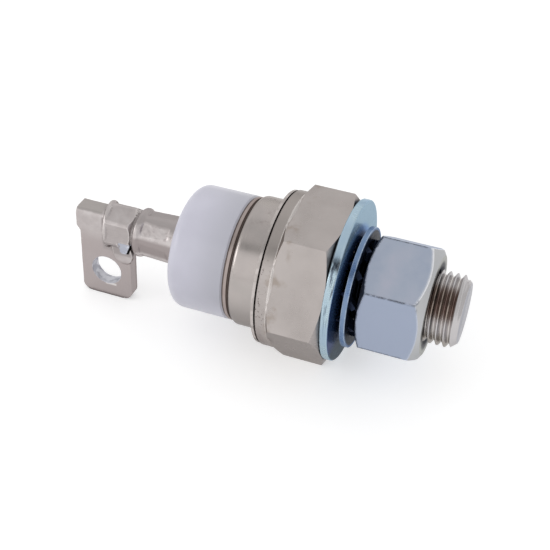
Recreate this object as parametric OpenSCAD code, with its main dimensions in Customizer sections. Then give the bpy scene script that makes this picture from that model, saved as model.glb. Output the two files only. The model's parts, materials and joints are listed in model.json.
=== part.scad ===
// Stud-mounted power thyristor in a ceramic and metal housing, with its nut and washers.
// The axis of the device is X, with the threaded stud towards +X.
// X = 0 is the flat of the hexagon that seats on a heat sink. Sizes are in millimetres.
// The device lies on its side: the flat terminal hangs down from the axis towards -Z.

/* [Base and stud] */
// Width of the hexagon across its flats
hex_af = 27; // [26:0.5:32.5]
// Height of the hexagon, from the seat to the collar
hex_h = 9.2; // [7.5:0.1:12]
// Turn of the hexagon about the axis, in degrees
hex_turn = -22.7; // [-30:0.1:30]
// Diameter of the round collar behind the hexagon
collar_d = 27.8; // [27.4:0.1:33]
// Height of the collar
collar_h = 2.25; // [1.9:0.05:4]
// Outside diameter of the stud's thread
stud_d = 12.7; // [10.5:0.1:15.3]
// Length of the stud from the seat
stud_l = 21.3; // [19.5:0.1:28]
// Length of the chamfer on the stud's end
stud_chamfer = 1.2; // [0.5:0.1:1.8]
// Diameter of the raised platform that carries the silicon
platform_d = 18; // [17.4:0.1:18.4]
// Height of that platform above the collar
platform_h = 1.15; // [0.8:0.05:1.4]

/* [Metal cap] */
// Outside diameter of the cap
cap_d = 23.3; // [22.8:0.1:27]
// Sheet thickness of the cap
cap_wall = 0.5; // [0.3:0.05:0.6]
// Height of the cap, from the weld to its top
cap_h = 5.75; // [5.3:0.05:7.5]
// Diameter of the flange that is welded to the base
flange_d = 27.5; // [25.6:0.1:27.6]
// Thickness of that flange
flange_t = 0.5; // [0.3:0.05:1]
// Width of the groove between that flange and the collar
weld_groove = 0.25; // [0.1:0.05:0.4]
// Outside radius of the cap's rounded shoulder
shoulder_r = 1; // [0.6:0.1:1.2]

/* [Ceramic] */
// Outside diameter of the ceramic
ceramic_d = 22.4; // [21:0.1:25.5]
// Length of the ceramic
ceramic_l = 10.6; // [8.8:0.1:13]
// Diameter of the hollow in the ceramic
ceramic_bore = 17.8; // [17.4:0.1:19]
// Thickness of the ceramic's end wall
ceramic_end = 2.5; // [1.8:0.1:3.2]
// Radius of the ceramic's rounded outer edge
ceramic_edge = 2; // [0.5:0.1:2.2]
// Width of the metal ring between the ceramic and the cap
seal_w = 1.1; // [0.8:0.05:1.5]

/* [Main terminal] */
// Outside diameter of the terminal tube at the ceramic
neck_d = 9; // [8.4:0.1:9.6]
// How much narrower the tube is at its pressed end
neck_taper = 0.6; // [0:0.1:0.8]
// Bore of the terminal tube
neck_bore = 6.1; // [5.6:0.1:6.3]
// Length of the terminal tube outside the ceramic
neck_l = 9.65; // [8.5:0.05:13]
// Depth of the pressed flats on that tube
neck_press = 0.25; // [0:0.05:0.35]
// Gap between the tube and the terminal's barrel
neck_gap = 0.5; // [0.3:0.05:0.8]
// Width across the flats of the terminal's barrel
barrel_af = 7.8; // [7.2:0.1:8.6]
// Length of the barrel
barrel_l = 6.5; // [5.5:0.1:8]
// Turn of the barrel's flats about the axis, in degrees
barrel_turn = 50; // [30:1:90]
// Lean of the barrel's outer end, in degrees
barrel_lean = 9; // [0:1:12]
// Width of the flat plate, along the axis
plate_w = 10.1; // [8.5:0.1:12]
// Thickness of the flat plate
plate_t = 2.4; // [2:0.1:2.9]
// Reach of the plate from the axis to its tip
plate_reach = 14.4; // [12:0.1:17]
// Distance of the plate's front face from the axis
plate_front = 2.5; // [2.1:0.1:3]
// Diameter of the hole in the plate
hole_d = 5.8; // [4.8:0.1:6.6]
// Distance of the hole from the axis
hole_reach = 8.8; // [8:0.1:10]

/* [Washers and nut] */
// Outside diameter of the flat washer
washer_d = 28.5; // [24:0.1:34]
// How much wider the flat washer's hole is than the stud
washer_play = 1.7; // [1.5:0.1:2.8]
// Thickness of the flat washer
washer_t = 1.5; // [1.2:0.05:2.2]
// How far the loose flat washer has slid sideways, along Y
washer_slide_y = 0.5; // [0:0.05:0.5]
// How far the loose flat washer has slid sideways, along Z
washer_slide_z = 0.5; // [0:0.05:0.5]
// Outside diameter of the toothed lock washer
lock_d = 21.3; // [19.5:0.1:24]
// Thickness of the lock washer's sheet
lock_t = 0.9; // [0.7:0.05:1.2]
// Number of teeth on the lock washer
lock_teeth = 10; // [8:1:12]
// Twist of each tooth, in degrees
lock_twist = 42; // [30:1:45]
// Width of the lock washer's flat rim
lock_rim = 2.4; // [1.5:0.1:2.8]
// Width of the nut across its flats
nut_af = 19.05; // [18:0.05:23]
// Height of the nut
nut_h = 11.1; // [8:0.1:12]
// Turn of the nut about the axis, in degrees
nut_turn = -2.7; // [-30:0.1:30]
// Distance from the nut's flats to the round edge of its front face
nut_face_edge = 0.8; // [0.3:0.05:1.2]
// Slope of the nut's front chamfer, in degrees
nut_front_slope = 33; // [20:1:40]

/* [Silicon and contacts] */
// Diameter of the silicon disc
die_d = 17; // [15:0.1:17.1]
// Thickness of the silicon disc
die_t = 0.4; // [0.3:0.05:0.6]
// Diameter of the lower molybdenum disc
lower_d = 17.6; // [17:0.1:17.8]
// Thickness of the lower molybdenum disc
lower_t = 1; // [0.8:0.05:1.2]
// Diameter of the upper molybdenum disc
upper_d = 12.4; // [11:0.1:13.6]
// Thickness of the upper molybdenum disc
upper_t = 0.8; // [0.6:0.05:1]
// Diameter of the copper foot on the upper disc
foot_d = 12; // [11:0.1:12.2]
// Thickness of that foot
foot_t = 1.2; // [1:0.05:1.4]
// Diameter of the copper post that rises from the foot
post_d = 8; // [7.8:0.1:8.1]
// Bore for the gate contact through the foot
gate_bore = 3; // [2.8:0.05:3.2]

/* [Clamp] */
// Thickness of the insulating collar's flange
insulator_t = 0.8; // [0.6:0.05:1]
// Thickness of the steel pressure plate
pressure_t = 1; // [0.8:0.05:1.2]
// Number of disc springs
spring_n = 3; // [2:1:3]
// Sheet thickness of a disc spring
spring_t = 0.5; // [0.4:0.05:0.6]
// Height of a disc spring's cone
spring_rise = 0.35; // [0.2:0.05:0.4]
// Sheet thickness of the spring cage
cage_wall = 0.45; // [0.35:0.05:0.5]

/* [Gate] */
// Outside diameter of the gate tube
gate_tube_d = 2.2; // [1.8:0.1:2.4]
// Bore of the gate tube
gate_tube_bore = 1.4; // [1.1:0.1:1.5]
// Gap between the gate tube's collar and the ferrule on the main tube
gate_gap = 0.05; // [0.05:0.05:0.3]
// Length of the gate tube outside the ceramic
gate_tube_out = 2.6; // [1.5:0.1:2.8]
// Diameter of the insulated gate wire
wire_d = 1; // [0.8:0.05:1]

/* [Hidden] */
$fn = 96;

// Clearances and small edges
braze_gap = 0.03;
slip_gap = 0.05;
thread_gap = 0.04;
edge = 0.3;
deep = 40;

// Axial stations. They grow more negative from the seat towards the terminal.
x_collar = -hex_h;
x_weld = x_collar - collar_h;
x_platform = x_weld - platform_h;
x_cap_top = x_weld - cap_h;
x_ceramic = x_cap_top - seal_w;
x_ceramic_top = x_ceramic - ceramic_l;
x_end_wall = x_ceramic_top + ceramic_end;
x_neck_end = x_ceramic_top - neck_l;
x_barrel = x_neck_end - neck_gap;
x_barrel_end = x_barrel - barrel_l;
x_plate = x_barrel - 0.6;
x_plate_end = x_plate - plate_w;
x_die = x_platform - lower_t;
x_upper = x_die - die_t;
x_foot = x_upper - upper_t;
x_foot_top = x_foot - foot_t;
x_pressure = x_foot_top - insulator_t;
x_springs = x_pressure - pressure_t;
spring_step = spring_t + spring_rise + braze_gap;
x_springs_top = x_springs - spring_n * spring_step;
x_cage_top = x_springs_top - cage_wall;
x_post_top = x_cage_top - 1;

// Radii
hex_corner = hex_af / 2 / cos(30);
chamfer_slope = tan(30);
seat_slope = tan(27);
collar_r = collar_d / 2;
seat_r = hex_af / 2 + 0.1;
stud_r = stud_d / 2;
stud_root = stud_r - 0.9;
washer_hole = stud_d + washer_play;
cap_r = cap_d / 2;
flange_r = flange_d / 2;
cap_inner = cap_r - cap_wall;
weld_ring_r = collar_r - 0.9;
ceramic_r = ceramic_d / 2;
seal_bore = ceramic_bore / 2 + 1;
neck_r = neck_d / 2;
neck_hole = neck_bore / 2;
ferrule_r = neck_r + 0.95;
gate_collar_r = gate_tube_d / 2 + 0.3;
gate_reach = ferrule_r + gate_gap + gate_collar_r;
post_r = post_d / 2;
lead_r = neck_hole - slip_gap;
cage_bore = platform_d / 2 + 0.8;
cage_narrow = ceramic_bore / 2 - 0.95;
spring_bore = post_r + 0.65;
spring_r = cage_narrow - 0.2;

// Puts a shape drawn along Z on the device's axis: Z becomes X, and X becomes -Z.
module on_axis(x = 0) {
    translate([x, 0, 0]) rotate([0, 90, 0]) children();
}

// Turns an outline of [radius, station] points about the device's axis.
module turned(points) {
    on_axis() rotate_extrude() polygon(points);
}

// The same for an outline that has round stretches, drawn with X as the radius and Y as the station.
module turned_outline() {
    on_axis() rotate_extrude() children();
}

// A plain round piece between two stations, with a hole where bore is not 0.
module round_piece(x0, x1, r, bore = 0) {
    turned([[bore, x0], [r, x0], [r, x1], [bore, x1]]);
}

// A hexagonal bar between two stations, with one corner turned to the given angle.
module hex_bar(x0, x1, across, turn) {
    on_axis(x0) rotate([0, 0, turn]) cylinder(h = x1 - x0, r = across / 2 / cos(30), $fn = 6);
}

// The same bar, with a different width across its flats at each end.
module hex_taper(x0, x1, across0, across1, turn) {
    k = 2 * cos(30);
    on_axis(x0) rotate([0, 0, turn]) cylinder(h = x1 - x0, r1 = across0 / k, r2 = across1 / k, $fn = 6);
}

// Copper base, turned and milled with its stud in one piece.
module stud_base() {
    hex_top = x_collar - edge;
    chamfer_top = x_collar + (hex_corner + 1 - collar_r) * chamfer_slope;
    chamfer_seat = (hex_corner + 1 - seat_r) * seat_slope;
    x_lip = x_weld + weld_groove;
    color("silver") {
        intersection() {
            hex_bar(hex_top, 0, hex_af, hex_turn);
            turned([
                [0, hex_top],
                [collar_r - edge, hex_top],
                [collar_r, x_collar],
                [hex_corner + 1, chamfer_top],
                [hex_corner + 1, -chamfer_seat],
                [seat_r, 0],
                [0, 0],
            ]);
        }
        difference() {
            turned([
                [0, x_platform],
                [platform_d / 2 - edge, x_platform],
                [platform_d / 2, x_platform + edge],
                [platform_d / 2, x_weld],
                [collar_r - 0.5, x_weld],
                [collar_r - 0.5, x_lip],
                [collar_r - 0.15, x_lip],
                [collar_r, x_lip + 0.15],
                [collar_r, x_collar],
                [collar_r - 1, x_collar + 1],
                [0, x_collar + 1],
            ]);
            weld_ring_space(braze_gap);
        }
        turned([
            [0, -1],
            [stud_r, -1],
            [stud_r, 0],
            [stud_root, 0.5],
            [stud_root, 1.2],
            [stud_r, 1.9],
            [stud_r, stud_l - stud_chamfer],
            [stud_r - stud_chamfer * 0.9, stud_l],
            [0, stud_l],
        ]);
    }
}

// Space that the weld ring fills in the top of the collar.
module weld_ring_space(gap = 0) {
    round_piece(x_weld - 1, x_weld + 1, weld_ring_r + gap, cap_inner + 0.3 - gap);
}

// Steel ring brazed into the base, to which the cap is welded.
module weld_ring() {
    color("dimgray") turned([
        [cap_inner + 0.3, x_weld],
        [weld_ring_r, x_weld],
        [weld_ring_r, x_weld + 1],
        [cap_inner + 0.3, x_weld + 1],
    ]);
}

// Drawn steel cap with a welding flange and a rounded shoulder.
module cap_shell() {
    fillet = 0.5;
    x_flange = x_weld - flange_t;
    shoulder = [cap_r - shoulder_r, x_cap_top + shoulder_r];
    color("gainsboro") turned_outline() difference() {
        union() {
            polygon([
                [seal_bore, x_cap_top],
                [shoulder[0], x_cap_top],
                shoulder,
                [cap_r, shoulder[1]],
                [cap_r, x_flange - fillet],
                [cap_r + fillet, x_flange - fillet],
                [cap_r + fillet, x_flange],
                [flange_r, x_flange],
                [flange_r, x_weld],
                [seal_bore, x_weld],
            ]);
            translate(shoulder) circle(shoulder_r);
        }
        translate([cap_r + fillet, x_flange - fillet]) circle(fillet);
        polygon([
            [seal_bore - 1, x_cap_top + cap_wall],
            [shoulder[0], x_cap_top + cap_wall],
            shoulder,
            [cap_inner, shoulder[1]],
            [cap_inner, x_weld + 1],
            [seal_bore - 1, x_weld + 1],
        ]);
        translate(shoulder) circle(shoulder_r - cap_wall);
    }
}

// Narrow nickel-iron ring brazed between the cap and the ceramic.
module seal_ring() {
    groove = 0.2;
    r = ceramic_r - 0.05;
    color("rosybrown") turned([
        [seal_bore, x_ceramic],
        [r - groove, x_ceramic],
        [r - groove, x_ceramic + groove],
        [r, x_ceramic + 1.5 * groove],
        [r, x_cap_top - 1.5 * groove],
        [r - groove, x_cap_top - groove],
        [r - groove, x_cap_top],
        [seal_bore, x_cap_top],
    ]);
}

// Alumina cup: a tube with an end wall that the main and gate tubes pass through.
module ceramic_insulator() {
    seat = 0.3;
    corner = [ceramic_r - ceramic_edge, x_ceramic_top + ceramic_edge];
    color("lavender") difference() {
        turned_outline() union() {
            polygon([
                [0, x_ceramic_top],
                [corner[0], x_ceramic_top],
                corner,
                [ceramic_r, corner[1]],
                [ceramic_r, x_ceramic - edge],
                [ceramic_r - edge, x_ceramic],
                [0, x_ceramic],
            ]);
            translate(corner) circle(ceramic_edge);
        }
        turned([
            [0, x_ceramic + 1],
            [ceramic_bore / 2, x_ceramic + 1],
            [ceramic_bore / 2, x_end_wall + edge],
            [ceramic_bore / 2 - edge, x_end_wall],
            [0, x_end_wall],
        ]);
        on_axis(x_ceramic_top - 1) cylinder(h = ceramic_end + 2, r = neck_r + braze_gap);
        on_axis(x_ceramic_top - 1) cylinder(h = 1 + seat, r = ferrule_r + braze_gap);
        at_gate() on_axis(x_ceramic_top - 1)
            cylinder(h = ceramic_end + 2, r = gate_tube_d / 2 + braze_gap);
    }
}

// Places a piece at the gate tube, on the side away from the plate's front face.
module at_gate() {
    translate([0, gate_reach, 0]) children();
}

// Brazing ferrule in a recess of the ceramic's end, round the main tube.
module seal_ferrule() {
    inner = neck_r + braze_gap;
    seat = x_ceramic_top + 0.3;
    color("silver") turned([
        [inner, seat],
        [ferrule_r, seat],
        [ferrule_r, x_ceramic_top - 0.1],
        [inner + 0.6, x_ceramic_top - 0.3],
        [inner + 0.4, x_ceramic_top - 1.6],
        [inner, x_ceramic_top - 1.6],
    ]);
}

// Copper tube sealed in the ceramic, pressed flat in six places on the lead inside it.
module neck_tube() {
    x_inside = x_end_wall + 0.8;
    x_full = x_ceramic_top - 0.4;
    thin_r = neck_r - neck_taper / 2;
    ridge_r = thin_r + 0.35;
    color("silver") difference() {
        turned([
            [0, x_neck_end],
            [thin_r, x_neck_end],
            [ridge_r, x_neck_end + 0.4],
            [ridge_r, x_neck_end + 0.9],
            [thin_r, x_neck_end + 1.5],
            [neck_r, x_full],
            [neck_r, x_inside - edge],
            [neck_r - edge, x_inside],
            [0, x_inside],
        ]);
        press_flats(x_neck_end + 1.5, x_full - 2.4, thin_r, neck_r);
        on_axis(x_neck_end - 1) cylinder(h = x_inside - x_neck_end + 2, r = neck_hole);
    }
}

// What the pressing tool takes off the tube: all that lies outside a tapered hexagonal bar.
module press_flats(x0, x1, r0, r1) {
    across0 = 2 * (r0 - neck_press);
    across1 = 2 * (r1 - neck_press);
    difference() {
        round_piece(x0, x1, r1 + 1);
        hex_taper(x0 - 0.01, x1 + 0.01, across0, across1, 15);
    }
}

// Forged copper terminal: a hexagonal barrel, a bar and a flat plate with a screw hole.
module flag_terminal() {
    corner_r = 1.8;
    bar_top = 3.5;
    bar_back = 1.3;
    bar_over = 0.7;
    y_front = -plate_front;
    y_back = y_front + plate_t;
    spigot_l = 3.2;
    shoulder_r = neck_r - neck_taper / 2 - 0.5;
    color("rosybrown") difference() {
        union() {
            plate_outline(y_front, y_back, corner_r);
            terminal_bar(y_front, bar_back, bar_top, bar_over);
            difference() {
                barrel();
                pad_front(y_front);
            }
            fillet_pad(y_front);
            round_piece(x_barrel - 1, x_neck_end + spigot_l, neck_hole - slip_gap);
            round_piece(x_barrel - 1, x_neck_end - slip_gap, shoulder_r);
        }
        translate([hole_x(), 0, -hole_reach]) rotate([90, 0, 0])
            cylinder(h = deep, r = hole_d / 2, center = true);
    }
}

function hole_x() = (x_plate + x_plate_end) / 2;

// The flat plate, seen from its front, with two rounded corners at its tip.
module plate_outline(y0, y1, r) {
    translate([0, y1, 0]) rotate([90, 0, 0]) linear_extrude(y1 - y0) union() {
        translate([x_plate_end, -plate_reach + r]) square([plate_w, plate_reach - r + 1]);
        translate([x_plate_end + r, -plate_reach]) square([plate_w - 2 * r, r + 1]);
        for (x = [x_plate_end + r, x_plate - r]) translate([x, -plate_reach + r]) circle(r);
    }
}

// Bar along the top of the plate, with a rounded front edge. Its outer end stands past the plate.
module terminal_bar(y0, y1, z1, over) {
    r = 1.1;
    back_r = 0.35;
    low = -0.2;
    x0 = x_plate_end - over;
    length = x_barrel_end + 1.9 - x0;
    translate([x0, 0, 0]) rotate([90, 0, 90]) linear_extrude(length) union() {
        translate([y0, low]) square([y1 - y0, z1 - r - low]);
        translate([y0 + r, low]) square([y1 - back_r - y0 - r, z1 - low]);
        translate([y0 + r, low]) square([y1 - y0 - r, z1 - back_r - low]);
        translate([y0 + r, z1 - r]) circle(r);
        translate([y1 - back_r, z1 - back_r]) circle(back_r);
    }
    translate([0, y0 + plate_t, 0]) rotate([90, 0, 0]) linear_extrude(plate_t)
        polygon([
            [x0, low],
            [x_plate_end + 1, low],
            [x_plate_end + 1, low - 1.6],
            [x_plate_end, low - 0.9],
        ]);
}

// Six-sided barrel with a rounded bead at its outer end, which leans in at the front.
module barrel() {
    corner = barrel_af / 2 / cos(30);
    round_r = corner - 0.2;
    bead = 0.55;
    bead_r = round_r + 0.1;
    intersection() {
        hex_bar(x_barrel_end, x_barrel, barrel_af, barrel_turn);
        turned([
            [0, x_barrel_end],
            [round_r, x_barrel_end],
            [round_r, x_barrel - 0.5],
            [round_r - 0.5, x_barrel],
            [0, x_barrel],
        ]);
        at_barrel_end() translate([bead, -deep / 2, -deep / 2]) cube(deep);
    }
    at_barrel_end() turned_outline() union() {
        square([bead_r - bead, 2 * bead]);
        translate([bead_r - bead, bead]) circle(bead);
    }
}

// Places a piece on the barrel's leaning outer end.
module at_barrel_end() {
    back = 2.5;
    translate([x_barrel_end, back, 0]) rotate([0, 0, barrel_lean]) translate([0, -back, 0]) children();
}

// Sloping pad with a round lower end, where the barrel's underside runs out on the plate.
pad_r = 1.9;
pad_reach = 4.25;
pad_top = 0.6;
pad_x = x_barrel - 2 * pad_r;

// The two slopes of the pad's front. Each point is a height below the axis and a distance from the plate.
pad_slopes = [[pad_reach + pad_r + 0.1, 0.25], [3.6, 0.7], [pad_top, 1.55]];

module fillet_pad(y0) {
    intersection() {
        union() {
            translate([pad_x + pad_r, y0 + 0.5, -pad_reach]) rotate([90, 0, 0]) cylinder(h = 3, r = pad_r);
            translate([pad_x, y0 - 3, -pad_reach]) cube([2 * pad_r, 3.5, pad_reach]);
        }
        translate([pad_x - 1, 0, 0]) rotate([90, 0, 90]) linear_extrude(2 * pad_r + 2) polygon(concat(
            [[y0 + 0.5, -pad_slopes[0][0]]],
            [for (p = pad_slopes) [y0 - p[1], -p[0]]],
            [[y0 + 0.5, -pad_top]]
        ));
    }
}

// Room in front of the pad's upper slope, where it cuts the barrel's corner flat.
module pad_front(y0) {
    translate([pad_x + 1.5, 0, 0]) rotate([90, 0, 90]) linear_extrude(2 * pad_r) polygon([
        [y0 - pad_slopes[1][1], -pad_slopes[1][0]],
        [y0 - pad_slopes[2][1], -pad_slopes[2][0]],
        [y0 - 3, -pad_slopes[2][0]],
        [y0 - 3, -pad_slopes[1][0]],
    ]);
}

// Zinc-plated flat washer, loose on the stud.
module flat_washer() {
    r = washer_d / 2;
    b = washer_hole / 2;
    e = 0.2;
    color("lightsteelblue") translate([0, washer_slide_y, washer_slide_z])
        turned([
            [b, e],
            [b + e, 0],
            [r - e, 0],
            [r, e],
            [r, washer_t - e],
            [r - e, washer_t],
            [b + e, washer_t],
            [b, washer_t - e],
        ]);
}

// Toothed lock washer: a flat ring whose inner teeth are twisted out of its plane.
tooth_w = 3.5;
lock_span = tooth_w * sin(lock_twist) + lock_t * cos(lock_twist);
x_lock = washer_t + lock_span / 2 + slip_gap;
module lock_washer() {
    r = lock_d / 2;
    rim = lock_rim;
    bore = stud_r + 0.3;
    color("lightsteelblue") {
        round_piece(x_lock - lock_t / 2, x_lock + lock_t / 2, r, r - rim);
        intersection() {
            round_piece(x_lock - lock_span, x_lock + lock_span, r - rim + 0.3, bore);
            for (i = [0 : lock_teeth - 1]) on_axis(x_lock) rotate([0, 0, 360 / lock_teeth * i])
                translate([r / 2, 0, 0]) rotate([lock_twist, 0, 0])
                    cube([r, tooth_w, lock_t], center = true);
        }
    }
}

// Steel nut with both faces chamfered and its bore countersunk.
x_nut = washer_t + lock_span + 6 * slip_gap;
module hex_nut() {
    corner = nut_af / 2 / cos(30);
    back_face = nut_af / 2 - 0.3;
    front_face = nut_af / 2 - nut_face_edge;
    back_rise = (corner + 1 - back_face) * chamfer_slope;
    front_rise = (corner + 1 - front_face) * tan(nut_front_slope);
    sink = 0.5;
    bore = stud_r + thread_gap;
    x1 = x_nut + nut_h;
    color("lightsteelblue") difference() {
        intersection() {
            hex_bar(x_nut, x1, nut_af, nut_turn);
            turned([
                [0, x_nut],
                [back_face, x_nut],
                [corner + 1, x_nut + back_rise],
                [corner + 1, x1 - front_rise],
                [front_face, x1],
                [0, x1],
            ]);
        }
        turned([
            [0, x_nut - 1],
            [bore + sink, x_nut - 1],
            [bore + sink, x_nut],
            [bore, x_nut + sink],
            [bore, x1 - sink],
            [bore + sink, x1],
            [bore + sink, x1 + 1],
            [0, x1 + 1],
        ]);
    }
}

// Molybdenum disc brazed on the base's platform.
module lower_disc() {
    color("gray") round_piece(x_die, x_platform, lower_d / 2);
}

// Silicon disc with a bevelled edge.
module silicon_die() {
    bevel = die_t;
    r = die_d / 2;
    color("darkslategray") turned([[0, x_upper], [r - bevel, x_upper], [r, x_die], [0, x_die]]);
}

// Silicone rubber moulded round the bevelled edge of the silicon.
module edge_seal() {
    r = die_d / 2;
    lip = upper_d / 2 + 1.4;
    out = platform_d / 2 + 0.3;
    gap = slip_gap / 2;
    color("ivory") turned([
        [lip, x_upper - gap - 0.3],
        [out, x_upper - gap - 0.3],
        [out, x_die + 0.3],
        [lower_d / 2 + gap, x_die + 0.3],
        [lower_d / 2 + gap, x_die],
        [r + gap, x_die],
        [r - die_t + gap, x_upper - gap],
        [lip, x_upper - gap],
    ]);
}

// Molybdenum disc on the cathode side, with a hole for the gate contact.
module upper_disc() {
    color("gray") round_piece(x_foot, x_upper, upper_d / 2, gate_bore / 2 + 0.1);
}

// Copper post: a foot on the upper disc, a hollow stem for the lead and a slot for the gate wire.
lead_floor = 2.1;
module cathode_post() {
    r = post_r;
    x_floor = x_foot_top - lead_floor;
    slot = wire_d + 0.3;
    color("peru") difference() {
        turned([
            [gate_bore / 2, x_foot],
            [foot_d / 2, x_foot],
            [foot_d / 2, x_foot_top],
            [r, x_foot_top],
            [r, x_post_top],
            [neck_hole, x_post_top],
            [neck_hole, x_floor],
            [gate_bore / 2, x_floor],
        ]);
        translate([x_post_top - 1, 0, -slot / 2])
            cube([x_wire_turn() + slot / 2 - x_post_top + 1, r + 1, slot]);
    }
}

// Station at which the gate wire turns from the middle of the post to its slot.
function x_wire_turn() = x_foot_top - 1.2;

// Plastic ring that keeps the upper disc and the foot in the middle.
module centring_ring() {
    out = cage_bore - slip_gap;
    lip = upper_d / 2 + slip_gap;
    wall = 0.4;
    color("ivory") turned([
        [lip, x_foot - 0.2],
        [lip, x_foot + 0.3],
        [out - wall, x_foot + 0.3],
        [out - wall, x_weld - 0.9],
        [out, x_weld - 0.9],
        [out, x_foot - 0.2],
    ]);
}

// Insulating collar: a flange under the clamp and a tube that lines the springs.
module insulating_collar() {
    inner = post_r + slip_gap;
    out = cage_narrow - 0.3;
    tube = inner + 0.4;
    color("khaki") turned([
        [inner, x_foot_top],
        [out, x_foot_top],
        [out, x_pressure],
        [tube, x_pressure],
        [tube, x_cage_top],
        [inner, x_cage_top],
    ]);
}

// Steel plate that spreads the force of the springs.
module pressure_plate() {
    color("slategray") round_piece(x_springs, x_pressure, spring_r, spring_bore);
}

// Disc springs stacked rim to rim, turned the other way one after another.
module disc_springs() {
    color("slategray") for (i = [0 : spring_n - 1]) {
        x = x_springs - i * spring_step - braze_gap / 2;
        tall = i % 2 == 0;
        low = tall ? 0 : spring_rise;
        high = tall ? spring_rise : 0;
        turned([
            [spring_bore, x - high],
            [spring_r, x - low],
            [spring_r, x - low - spring_t],
            [spring_bore, x - high - spring_t],
        ]);
    }
}

// Drawn steel cage that holds the springs down on the stack.
module spring_cage() {
    wide = cage_bore;
    rim = cap_inner - 0.15;
    foot = 0.5;
    x_step = x_cap_top + cap_wall + 0.3;
    color("slategray") turned([
        [wide, x_weld],
        [rim, x_weld],
        [rim, x_weld - foot],
        [wide + cage_wall, x_weld - foot],
        [wide + cage_wall, x_step],
        [cage_narrow + cage_wall, x_step],
        [cage_narrow + cage_wall, x_cage_top],
        [spring_bore + 0.1, x_cage_top],
        [spring_bore + 0.1, x_springs_top],
        [cage_narrow, x_springs_top],
        [cage_narrow, x_step + cage_wall],
        [wide, x_step + cage_wall],
    ]);
}

// Short stranded copper lead from the post to the terminal tube: six strands round one.
module inner_lead() {
    strand = lead_r / 3 + 0.03;
    ring = lead_r - strand;
    x0 = x_neck_end + 3.6;
    x1 = x_foot_top - lead_floor - 0.1;
    color("peru") {
        on_axis(x0) cylinder(h = x1 - x0, r = strand, $fn = 32);
        for (i = [0 : 5]) on_axis(x0) rotate([0, 0, 60 * i]) translate([ring, 0, 0])
            cylinder(h = x1 - x0, r = strand, $fn = 32);
    }
}

// Gate contact, its spring, the sleeve round them and the wire to the gate tube.
pin_r = 0.45;
head_r = 0.9;
sleeve_r = gate_bore / 2 - slip_gap;
sleeve_bore = sleeve_r - 0.35;
sleeve_end = 0.3;
x_head = x_foot - 0.1;
x_head_top = x_head - 0.3;
x_sleeve_top = x_wire_turn() + 0.75;
wire_r = wire_d / 2;
slot_r = post_r - wire_r - 0.05;

module gate_pin() {
    color("gold") turned([
        [0, x_head_top],
        [head_r, x_head_top],
        [head_r, x_head],
        [pin_r, x_head],
        [pin_r, x_upper - 0.2],
        [0, x_upper],
    ]);
}

module gate_sleeve() {
    hole = 0.35;
    color("white") turned([
        [sleeve_bore, x_foot - 0.02],
        [sleeve_r, x_foot - 0.02],
        [sleeve_r, x_sleeve_top],
        [hole, x_sleeve_top],
        [hole, x_sleeve_top + sleeve_end],
        [sleeve_bore, x_sleeve_top + sleeve_end],
    ]);
}

// Steel coil between the pin's head and the closed end of the sleeve.
module gate_spring() {
    turns = 2.5;
    steps = 14;
    coil_r = 0.8;
    thick = 0.14;
    span = x_head_top - x_sleeve_top - sleeve_end - 2 * thick - 0.04;
    total = turns * steps;
    path = [for (i = [0 : total]) let (a = 360 * i / steps)
        [x_head_top - thick - 0.02 - span * i / total, coil_r * cos(a), coil_r * sin(a)]];
    color("gold") swept(path, [for (p = path) thick], 6, [1, 0, 0]);
}

// Insulated gate wire: bare in the sleeve, then through the post's slot and up into the gate tube.
module gate_wire() {
    core = 0.3;
    in_tube = min(wire_r, gate_tube_bore / 2 - 0.1);
    x_turn = x_wire_turn();
    bare_end = gate_bore / 2;
    x_rise = x_post_top - 1.2;
    // Each point is a station, a distance from the axis and the wire's radius there.
    route = rounded([
        [x_head_top - 0.02, 0, core],
        [x_turn, 0, core],
        [x_turn, bare_end - 0.1, core],
        [x_turn, bare_end, wire_r],
        [x_turn, slot_r, wire_r],
        [x_rise, slot_r, wire_r],
        [x_end_wall + 1.4, gate_reach, wire_r],
        [x_end_wall, gate_reach, in_tube],
        [x_ceramic_top - gate_tube_out + 0.5, gate_reach, in_tube],
    ], 0.7);
    color("white") swept([for (p = route) [p[0], p[1], 0]], [for (p = route) p[2]], 10, [0, 0, 1]);
}

// Small tube sealed in the ceramic's end wall, through which the gate circuit leaves.
module gate_tube() {
    x0 = x_ceramic_top - gate_tube_out;
    x1 = x_end_wall + 0.6;
    r = gate_tube_d / 2;
    color("silver") at_gate() difference() {
        turned([
            [0, x0],
            [r, x0],
            [r, x_ceramic_top - 0.3],
            [gate_collar_r, x_ceramic_top - 0.3],
            [gate_collar_r, x_ceramic_top],
            [r, x_ceramic_top],
            [r, x1],
            [0, x1],
        ]);
        on_axis(x0 - 1) cylinder(h = x1 - x0 + 2, r = gate_tube_bore / 2);
    }
}

function unit(v) = v / norm(v);

// The points of a path with its corners rounded, from at most this far before and after each.
function rounded(path, reach, steps = 4) = concat(
    [path[0]],
    [for (i = [1 : len(path) - 2])
        let (p = path[i], before = path[i - 1] - p, after = path[i + 1] - p)
        let (a = p + min(reach, norm(before) / 2.5) * unit(before))
        let (b = p + min(reach, norm(after) / 2.5) * unit(after))
        for (t = [0 : 1 / steps : 1]) (1 - t) * (1 - t) * a + 2 * t * (1 - t) * p + t * t * b],
    [path[len(path) - 1]]
);

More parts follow.
